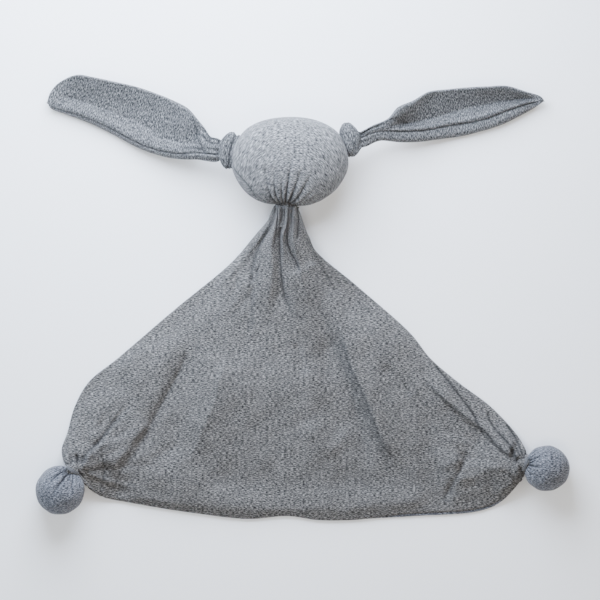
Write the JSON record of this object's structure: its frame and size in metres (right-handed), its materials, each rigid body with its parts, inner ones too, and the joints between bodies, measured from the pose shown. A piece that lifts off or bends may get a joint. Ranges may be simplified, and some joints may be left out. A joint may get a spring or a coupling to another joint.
{
  "type": "stuffed animal comforter",
  "caption": "Soft bunny comforter in grey jersey: stuffed head with long knotted ears on a flat gathered cloth body whose lower corners are tied into stuffed ball hands.",
  "frame": {"origin": "on the flat underside of the body, where the toy lies on its back", "axes": "+Y from the hem to the head, +X to the right hand ball as seen from the front, +Z out of the front"},
  "size_m": [0.3988, 0.3334, 0.0555],
  "materials": {
    "front_jersey": "grey heather single jersey, soft matt knit",
    "back_jersey": "grey heather single jersey, soft matt knit",
    "head_jersey": "grey heather single jersey, stretched over wadding",
    "ear_jersey": "grey heather single jersey, soft matt knit",
    "wadding": "white polyester wadding",
    "thread": "grey sewing thread, wound tight"
  },
  "bodies": {
    "body": {"body_front_panel": "front_jersey", "body_back_panel": "back_jersey"},
    "neck": {"neck_thread": "thread"},
    "head": {"head_front_panel": "head_jersey", "head_back_panel": "head_jersey", "head_filling": "wadding"},
    "left_knot": {"left_ear_knot": "ear_jersey"},
    "left_ear": {"left_ear_outer": "ear_jersey", "left_ear_inner": "ear_jersey"},
    "right_knot": {"right_ear_knot": "ear_jersey"},
    "right_ear": {"right_ear_outer": "ear_jersey", "right_ear_inner": "ear_jersey"},
    "left_wrist": {"left_ball_thread": "thread"},
    "left_ball": {"left_ball_cover": "back_jersey", "left_ball_filling": "wadding"},
    "right_wrist": {"right_ball_thread": "thread"},
    "right_ball": {"right_ball_cover": "back_jersey", "right_ball_filling": "wadding"}
  },
  "joints": [
    {"name": "head_tilt", "type": "hinge", "parent": "body", "child": "neck", "pos_m": [-0.0034, 0.129, 0.027], "axis": [0, 0, 1], "range_deg": [-30, 30]},
    {"name": "head_nod", "type": "hinge", "parent": "neck", "child": "head", "pos_m": [-0.0034, 0.129, 0.027], "axis": [0.9951, -0.0989, 0], "range_deg": [-40, 50]},
    {"name": "left_ear_flop", "type": "hinge", "parent": "head", "child": "left_knot", "pos_m": [-0.0469, 0.17189, 0.025], "axis": [0.1045, 0.9945, 0], "range_deg": [-45, 70]},
    {"name": "left_ear_swing", "type": "hinge", "parent": "left_knot", "child": "left_ear", "pos_m": [-0.05693, 0.17483, 0.025], "axis": [0, 0, 1], "range_deg": [-28, 30]},
    {"name": "left_ball_swing", "type": "hinge", "parent": "body", "child": "left_wrist", "pos_m": [-0.1625, -0.067, 0.0196], "axis": [0, 0, 1], "range_deg": [-35, 15]},
    {"name": "left_ball_lift", "type": "hinge", "parent": "left_wrist", "child": "left_ball", "pos_m": [-0.1625, -0.067, 0.0196], "axis": [-0.848, 0.5299, 0], "range_deg": [-15, 60]},
    {"name": "right_ear_flop", "type": "hinge", "parent": "head", "child": "right_knot", "pos_m": [0.04461, 0.17908, 0.025], "axis": [0.515, -0.8572, 0], "range_deg": [-45, 70]},
    {"name": "right_ear_swing", "type": "hinge", "parent": "right_knot", "child": "right_ear", "pos_m": [0.05562, 0.18138, 0.025], "axis": [0, 0, 1], "range_deg": [-30, 28]},
    {"name": "right_ball_swing", "type": "hinge", "parent": "body", "child": "right_wrist", "pos_m": [0.1756, -0.0626, 0.01828], "axis": [0, 0, 1], "range_deg": [-15, 35]},
    {"name": "right_ball_lift", "type": "hinge", "parent": "right_wrist", "child": "right_ball", "pos_m": [0.1756, -0.0626, 0.01828], "axis": [-0.1994, -0.9799, 0], "range_deg": [-15, 60]}
  ]
}
